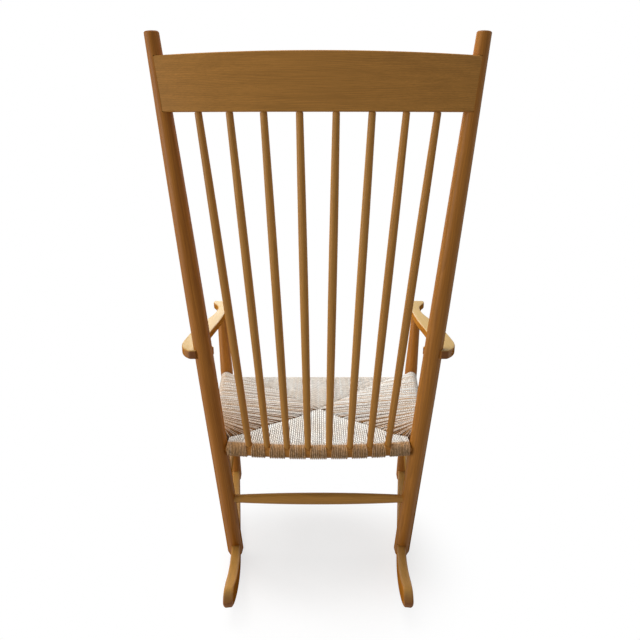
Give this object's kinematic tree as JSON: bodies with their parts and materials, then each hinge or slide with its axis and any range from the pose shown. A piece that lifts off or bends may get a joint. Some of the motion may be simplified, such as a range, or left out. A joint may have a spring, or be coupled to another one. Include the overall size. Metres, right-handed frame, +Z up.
{
  "type": "rocking chair",
  "caption": "High-backed wooden rocking chair with turned spindles, shaped arms, curved runners and a seat woven from cord.",
  "frame": {"origin": "on the floor, at the middle of the chair's overall box seen from above", "axes": "+Z up; +X to the sitter's left, across the chair; +Y from the front of the seat to the back"},
  "size_m": [0.6366, 0.7876, 1.0825],
  "materials": {
    "wood": "satin",
    "cord": "matte"
  },
  "bodies": {
    "root": {"rear_post_left": "wood", "rear_post_right": "wood", "front_leg_left": "wood", "front_leg_right": "wood", "runner_left": "wood", "runner_right": "wood", "arm_left": "wood", "arm_right": "wood", "seat_rail_left": "wood", "seat_rail_right": "wood", "side_stretcher_left": "wood", "side_stretcher_right": "wood", "crest_rail": "wood", "seat_rail_rear": "wood", "seat_rail_front": "wood", "front_stretcher": "wood", "rear_stretcher": "wood", "spindle_1": "wood", "spindle_2": "wood", "spindle_3": "wood", "spindle_4": "wood", "spindle_5": "wood", "spindle_6": "wood", "spindle_7": "wood", "spindle_8": "wood", "seat_weave": "cord"}
  },
  "joints": []
}
